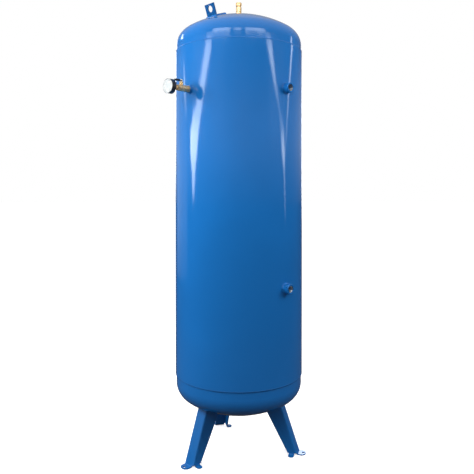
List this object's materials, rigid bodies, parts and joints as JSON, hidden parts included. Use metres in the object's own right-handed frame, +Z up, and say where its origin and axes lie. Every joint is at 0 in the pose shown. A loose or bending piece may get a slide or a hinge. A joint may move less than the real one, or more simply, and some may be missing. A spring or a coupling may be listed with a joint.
{
  "type": "air receiver tank",
  "caption": "Vertical compressed-air receiver on three folded legs, with lifting lugs, side ports, gauge on a shut-off cock, safety valve and drain.",
  "frame": {"origin": "on the floor, on the vessel's centre line", "axes": "+Z up along the vessel, -Y towards the front between the two front legs, +X to the right seen from the front"},
  "size_m": [0.6821, 0.617, 2.1306],
  "materials": {
    "blue_paint": "gloss enamel",
    "painted_weld": "gloss enamel over weld bead",
    "plate_aluminium": "satin",
    "rivet_aluminium": "satin",
    "brass": "turned",
    "movement_brass": "stamped",
    "chrome_ball": "polished",
    "zinc_steel": "zinc plated",
    "spring_steel": "drawn wire",
    "seal_plastic": "waxy",
    "seal_rubber": "matt",
    "lever_plastic": "dipped vinyl",
    "gauge_plastic": "moulded",
    "window_clear": "clear plastic",
    "dial_white": "printed card",
    "pointer_black": "painted"
  },
  "bodies": {
    "tank": {"shell": "blue_paint", "top_head": "blue_paint", "bottom_head": "blue_paint", "top_girth_weld": "painted_weld", "bottom_girth_weld": "painted_weld", "shell_seam_weld": "painted_weld", "gauge_socket": "blue_paint", "upper_side_socket": "blue_paint", "lower_side_socket": "blue_paint", "safety_valve_socket": "blue_paint", "drain_socket": "blue_paint", "socket_welds": "painted_weld", "lifting_lug_front": "blue_paint", "lifting_lug_rear": "blue_paint", "lug_welds": "painted_weld", "leg_front_left": "blue_paint", "leg_front_right": "blue_paint", "leg_rear": "blue_paint", "leg_front_left_weld": "painted_weld", "leg_front_right_weld": "painted_weld", "leg_rear_weld": "painted_weld", "plate_bracket": "blue_paint", "data_plate": "plate_aluminium", "plate_rivets": "rivet_aluminium", "cock_body": "brass", "cock_seats": "seal_plastic", "cock_end": "brass", "stem_packing": "seal_plastic", "gland_nut": "brass", "gauge_stem": "brass", "bourdon_tube": "movement_brass", "gauge_case": "gauge_plastic", "gauge_window": "window_clear", "gauge_dial": "dial_white", "movement_plates": "movement_brass", "safety_valve_body": "brass", "safety_valve_adjuster": "brass", "safety_valve_spring": "spring_steel", "drain_body": "brass"},
    "cock_handle": {"cock_ball": "chrome_ball", "cock_stem": "brass", "cock_lever": "zinc_steel", "lever_sleeve": "lever_plastic", "lever_nut": "zinc_steel"},
    "gauge_movement": {"gauge_sector": "movement_brass", "gauge_link": "movement_brass"},
    "gauge_needle": {"gauge_pinion": "movement_brass", "gauge_pointer": "pointer_black"},
    "valve_lifter": {"safety_valve_washer": "seal_rubber", "safety_valve_disc": "brass", "safety_valve_stem": "brass", "safety_valve_cap": "brass"},
    "drain_seal_body": {"drain_seal": "seal_rubber"},
    "drain_screw_body": {"drain_screw": "brass"}
  },
  "joints": [
    {"name": "cock_lever_turn", "type": "hinge", "parent": "tank", "child": "cock_handle", "pos_m": [-0.30051, -0.1735, 1.679], "axis": [0, 0, 1], "range_deg": [0, 90]},
    {"name": "sector_turn", "type": "hinge", "parent": "tank", "child": "gauge_movement", "pos_m": [-0.362, -0.209, 1.665], "axis": [-0.866, -0.5, 0], "range_deg": [0, 45], "stiffness_Nm_per_rad": 0.01},
    {"name": "pointer_turn", "type": "hinge", "parent": "tank", "child": "gauge_needle", "pos_m": [-0.362, -0.209, 1.679], "axis": [0.866, 0.5, 0], "range_deg": [0, 270]},
    {"name": "valve_lift", "type": "slide", "parent": "tank", "child": "valve_lifter", "axis": [0, 0, 1], "range_m": [0, 0.0025], "stiffness_N_per_m": 20000, "springref_m": -0.004, "deforming": ["safety_valve_spring"]},
    {"name": "drain_travel", "type": "slide", "parent": "tank", "child": "drain_seal_body", "axis": [0, 0, -1], "range_m": [0, 0.0025]},
    {"name": "drain_turn", "type": "hinge", "parent": "drain_seal_body", "child": "drain_screw_body", "pos_m": [0, 0, 0.16312], "axis": [0, 0, -1], "range_deg": [0, 720]}
  ],
  "couplings": [
    {"joint": "pointer_turn", "follows": "sector_turn", "ratio": 6},
    {"joint": "drain_turn", "follows": "drain_travel", "rad_per_m": 5026.5}
  ]
}
